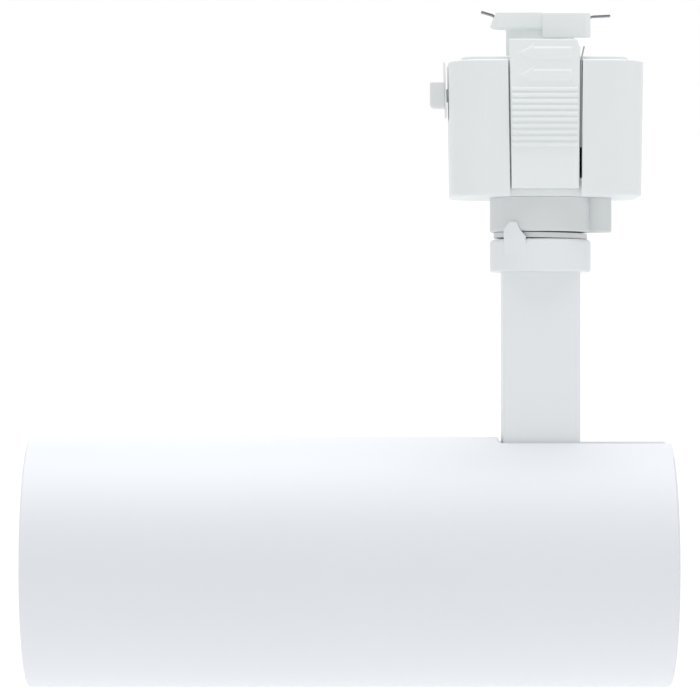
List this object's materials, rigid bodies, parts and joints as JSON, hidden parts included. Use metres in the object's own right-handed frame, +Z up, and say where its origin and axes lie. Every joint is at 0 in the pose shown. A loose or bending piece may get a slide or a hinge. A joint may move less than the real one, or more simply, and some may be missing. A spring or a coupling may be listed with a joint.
{
  "type": "track spotlight",
  "caption": "Cylindrical spotlight on a rectangular arm that swivels and tilts under a latching track adapter with sprung contacts.",
  "frame": {"origin": "axis of the adapter's round stem, in the plane of the raised land that seats against the track", "axes": "+Z up, out of the land into the track; +X towards the lamp's rear end at rest; -Y the side with the latch"},
  "size_m": [0.1587, 0.062, 0.1678],
  "materials": {
    "moulded_polycarbonate": "satin moulded white",
    "track_head_polyamide": "satin moulded white",
    "terminal_polyamide": "natural moulded",
    "plated_contact_strip": "tinned spring bronze, dull",
    "spring_steel": "bright spring steel",
    "zinc_plated_steel": "zinc plated",
    "powder_coat_white": "fine matt powder coat",
    "cast_aluminium": "as cast",
    "galvanised_sheet": "galvanised sheet",
    "fibre_washer": "pressed fibre",
    "driver_case_plastic": "moulded white",
    "circuit_board": "solder mask",
    "wound_ferrite": "ferrite and tape",
    "capacitor_sleeve": "shrunk sleeve",
    "lead_insulation": "silicone insulation",
    "led_ceramic": "white ceramic",
    "phosphor": "phosphor in silicone",
    "anodised_reflector": "bright anodised",
    "clear_glass": "clear tempered",
    "bezel_coat": "fine matt powder coat"
  },
  "bodies": {
    "adapter": {"adapter_body": "moulded_polycarbonate", "adapter_lid": "moulded_polycarbonate", "lid_screws": "zinc_plated_steel", "track_head": "track_head_polyamide", "live_contact": "plated_contact_strip", "neutral_contact": "plated_contact_strip", "earth_contact": "plated_contact_strip", "terminal_block": "terminal_polyamide", "terminal_screws": "zinc_plated_steel", "latch_spring": "spring_steel", "neck_ring": "moulded_polycarbonate"},
    "latch_slider": {"latch": "moulded_polycarbonate"},
    "side_release": {"side_button": "moulded_polycarbonate", "button_leaf": "spring_steel"},
    "swivel_arm": {"swivel_washer": "powder_coat_white", "threaded_nipple": "zinc_plated_steel", "swivel_nut": "zinc_plated_steel", "spring_washer": "spring_steel", "arm_collar": "powder_coat_white", "arm": "powder_coat_white", "arm_wires": "lead_insulation"},
    "lamp": {"lamp_housing": "powder_coat_white", "rear_cap": "powder_coat_white", "cap_screws": "zinc_plated_steel", "pivot_bracket": "galvanised_sheet", "bracket_screws": "zinc_plated_steel", "bulkhead": "cast_aluminium", "pivot_pin": "zinc_plated_steel", "pivot_nut": "zinc_plated_steel", "friction_washers": "fibre_washer", "driver_tray": "driver_case_plastic", "driver_cover": "driver_case_plastic", "driver_board": "circuit_board", "driver_transformer": "wound_ferrite", "driver_capacitors": "capacitor_sleeve", "driver_choke": "wound_ferrite", "driver_screws": "zinc_plated_steel", "mains_leads": "lead_insulation", "heat_sink": "cast_aluminium", "led_board": "led_ceramic", "led_emitter": "phosphor", "led_holder": "driver_case_plastic", "holder_screws": "zinc_plated_steel", "led_leads": "lead_insulation", "reflector": "anodised_reflector", "front_glass": "clear_glass", "front_bezel": "bezel_coat"}
  },
  "joints": [
    {"name": "latch_slide", "type": "slide", "parent": "adapter", "child": "latch_slider", "axis": [0, 0, -1], "range_m": [0, 0.0045], "stiffness_N_per_m": 300, "springref_m": -0.004, "deforming": ["latch_spring"]},
    {"name": "side_button_press", "type": "slide", "parent": "adapter", "child": "side_release", "axis": [1, 0, 0], "range_m": [0, 0.0012], "stiffness_N_per_m": 800, "springref_m": -0.001},
    {"name": "arm_swivel", "type": "hinge", "parent": "adapter", "child": "swivel_arm", "pos_m": [0, 0, -0.0439], "axis": [0, 0, 1], "range_deg": [-204, 96]},
    {"name": "lamp_tilt", "type": "hinge", "parent": "swivel_arm", "child": "lamp", "pos_m": [0, 0, -0.1247], "axis": [0, -1, 0], "range_deg": [0, 90]}
  ]
}
